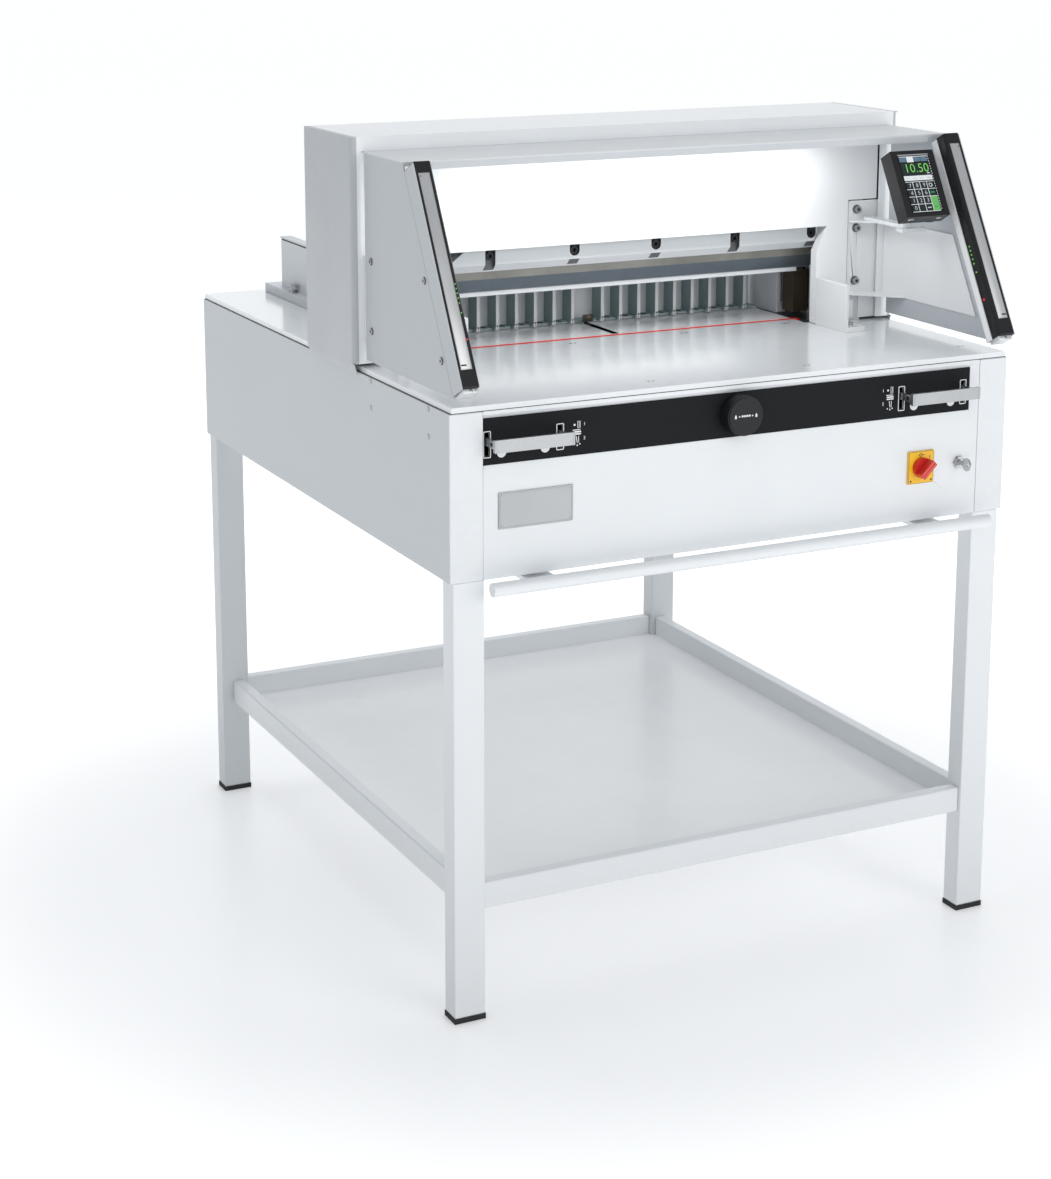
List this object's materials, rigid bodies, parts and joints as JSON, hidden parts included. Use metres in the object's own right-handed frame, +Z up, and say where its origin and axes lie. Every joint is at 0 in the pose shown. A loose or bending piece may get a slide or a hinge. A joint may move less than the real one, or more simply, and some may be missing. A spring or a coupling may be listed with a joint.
{
  "type": "guillotine paper cutter",
  "caption": "Electric guillotine paper cutter on a four-legged stand with a shelf, white panels, a slanted guard with light bars, a ribbed back gauge and a small keypad display.",
  "frame": {"origin": "on the floor under the middle of the overall width and depth", "axes": "+Z up, +X to the operator's right, +Y to the rear; the operator stands at -Y"},
  "size_m": [0.948, 1.072, 1.237],
  "materials": {
    "leg_front_left": "powder coat, fine texture",
    "leg_front_right": "powder coat, fine texture",
    "leg_rear_left": "powder coat, fine texture",
    "leg_rear_right": "powder coat, fine texture",
    "foot_pads": "moulded, matt",
    "shelf_rails": "powder coat, fine texture",
    "shelf_sheet": "light grey powder coat",
    "side_panel_left": "powder coat, shaded panels",
    "side_panel_right": "powder coat, shaded panels",
    "front_panel": "powder coat, fine texture",
    "rear_panel": "powder coat, shaded panels",
    "base_plate": "grey powder coat",
    "control_strip": "satin membrane film",
    "front_table": "smooth semi-gloss enamel",
    "rear_table": "smooth semi-gloss enamel",
    "cutting_stick": "red plastic, faint knife marks",
    "stick_channel": "machined steel",
    "side_frame_left": "grey machine enamel",
    "side_frame_right": "grey machine enamel",
    "cross_beam": "grey machine enamel",
    "knife_guides": "machined steel",
    "top_cover": "powder coat, shaded panels",
    "front_cover": "powder coat, fine texture",
    "guard_top": "powder coat, fine texture",
    "guard_panel_left": "powder coat, shaded panels",
    "guard_panel_right": "powder coat, shaded panels",
    "guard_brackets": "powder coat, fine texture",
    "light_bar_left": "black housing with a silver window frame",
    "light_bar_right": "black housing with a silver window frame",
    "side_stops": "powder coat, fine texture",
    "rear_guides": "powder coat, shaded panels",
    "clamp_guides": "dull bronze",
    "fasteners": "zinc-plated screws",
    "nameplate": "blank anodised plate",
    "switch_plate": "yellow moulded plate",
    "key_lock": "plated lock barrel",
    "drive_unit": "blue-grey machine enamel on castings",
    "crank": "machined steel",
    "hydraulic_unit": "blue-grey machine enamel",
    "clamp_cylinder": "dark enamel",
    "gauge_drive": "dark motor and bearing blocks",
    "spindle": "machined steel",
    "control_box": "light grey powder coat",
    "mains_inlet": "moulded inlet",
    "display_arm": "powder coat, fine texture",
    "display_unit": "dark case with a screen and keypad",
    "switch_knob": "red knob",
    "key": "plated key",
    "jog_knob": "black knob",
    "handle_left": "satin aluminium",
    "handle_right": "satin aluminium",
    "pivot_brackets": "machined steel",
    "pre_clamp_bar": "satin tube on flat arms",
    "knife_carrier": "ground steel, shaded",
    "knife": "oiled tool steel with a ground bevel",
    "knife_screws": "black oxide socket screws",
    "clamp_beam": "machined beam",
    "clamp_plate": "pale pressure plate",
    "clamp_rods": "machined steel",
    "back_gauge": "grey ribbed casting"
  },
  "bodies": {
    "machine": {"leg_front_left": "leg_front_left", "leg_front_right": "leg_front_right", "leg_rear_left": "leg_rear_left", "leg_rear_right": "leg_rear_right", "foot_pads": "foot_pads", "shelf_rails": "shelf_rails", "shelf_sheet": "shelf_sheet", "side_panel_left": "side_panel_left", "side_panel_right": "side_panel_right", "front_panel": "front_panel", "rear_panel": "rear_panel", "base_plate": "base_plate", "control_strip": "control_strip", "front_table": "front_table", "rear_table": "rear_table", "cutting_stick": "cutting_stick", "stick_channel": "stick_channel", "side_frame_left": "side_frame_left", "side_frame_right": "side_frame_right", "cross_beam": "cross_beam", "knife_guides": "knife_guides", "top_cover": "top_cover", "front_cover": "front_cover", "guard_top": "guard_top", "guard_panel_left": "guard_panel_left", "guard_panel_right": "guard_panel_right", "guard_brackets": "guard_brackets", "light_bar_left": "light_bar_left", "light_bar_right": "light_bar_right", "side_stops": "side_stops", "rear_guides": "rear_guides", "clamp_guides": "clamp_guides", "fasteners": "fasteners", "nameplate": "nameplate", "switch_plate": "switch_plate", "key_lock": "key_lock", "drive_unit": "drive_unit", "hydraulic_unit": "hydraulic_unit", "clamp_cylinder": "clamp_cylinder", "gauge_drive": "gauge_drive", "control_box": "control_box", "mains_inlet": "mains_inlet", "display_arm": "display_arm", "pivot_brackets": "pivot_brackets"},
    "knife_group": {"knife_carrier": "knife_carrier", "knife": "knife", "knife_screws": "knife_screws"},
    "clamp": {"clamp_beam": "clamp_beam", "clamp_plate": "clamp_plate", "clamp_rods": "clamp_rods"},
    "gauge": {"back_gauge": "back_gauge"},
    "gauge_screw": {"spindle": "spindle"},
    "crank_wheel": {"crank": "crank"},
    "handle_l": {"handle_left": "handle_left"},
    "handle_r": {"handle_right": "handle_right"},
    "pre_clamp": {"pre_clamp_bar": "pre_clamp_bar"},
    "jog": {"jog_knob": "jog_knob"},
    "main_switch": {"switch_knob": "switch_knob"},
    "lock_key": {"key": "key"},
    "display": {"display_unit": "display_unit"}
  },
  "joints": [
    {"name": "knife_slide", "type": "slide", "parent": "machine", "child": "knife_group", "axis": [-0.3854, 0, -0.9228], "range_m": [0, 0.093]},
    {"name": "crank_turn", "type": "hinge", "parent": "machine", "child": "crank_wheel", "pos_m": [0.33, -0.159, 0.76], "axis": [0, -1, 0], "range_deg": [0, 180.5]},
    {"name": "clamp_slide", "type": "slide", "parent": "machine", "child": "clamp", "axis": [0, 0, -1], "range_m": [0, 0.0775]},
    {"name": "gauge_slide", "type": "slide", "parent": "machine", "child": "gauge", "axis": [0, 1, 0], "range_m": [-0.055, 0.41]},
    {"name": "spindle_turn", "type": "hinge", "parent": "machine", "child": "gauge_screw", "pos_m": [0, 0.206, 0.868], "axis": [0, 1, 0], "range_deg": [-2160, 15120]},
    {"name": "handle_left_press", "type": "hinge", "parent": "machine", "child": "handle_l", "pos_m": [-0.351, -0.424, 0.848], "axis": [1, 0, 0], "range_deg": [0, 9], "stiffness_Nm_per_rad": 8, "springref_deg": -5.73},
    {"name": "handle_right_press", "type": "hinge", "parent": "machine", "child": "handle_r", "pos_m": [0.332, -0.424, 0.848], "axis": [1, 0, 0], "range_deg": [0, 9], "stiffness_Nm_per_rad": 8, "springref_deg": -5.73},
    {"name": "pre_clamp_press", "type": "hinge", "parent": "machine", "child": "pre_clamp", "pos_m": [0, -0.424, 0.645], "axis": [1, 0, 0], "range_deg": [0, 8], "stiffness_Nm_per_rad": 60, "springref_deg": -5.73},
    {"name": "jog_turn", "type": "hinge", "parent": "machine", "child": "jog", "pos_m": [-0.009, -0.502, 0.849], "axis": [0, 1, 0], "range_deg": [-60, 60], "stiffness_Nm_per_rad": 0.2},
    {"name": "switch_turn", "type": "hinge", "parent": "machine", "child": "main_switch", "pos_m": [0.311, -0.502, 0.736], "axis": [0, 1, 0], "range_deg": [0, 90]},
    {"name": "key_turn", "type": "hinge", "parent": "machine", "child": "lock_key", "pos_m": [0.382, -0.502, 0.736], "axis": [0, 1, 0], "range_deg": [0, 90]},
    {"name": "display_swivel", "type": "hinge", "parent": "machine", "child": "display", "pos_m": [0.392, -0.318, 1.1], "axis": [0, 0, 1], "range_deg": [-14, 0]}
  ],
  "couplings": [
    {"joint": "crank_turn", "follows": "knife_slide", "rad_per_m": 33.781},
    {"joint": "spindle_turn", "follows": "gauge_slide", "rad_per_m": 628.32}
  ]
}
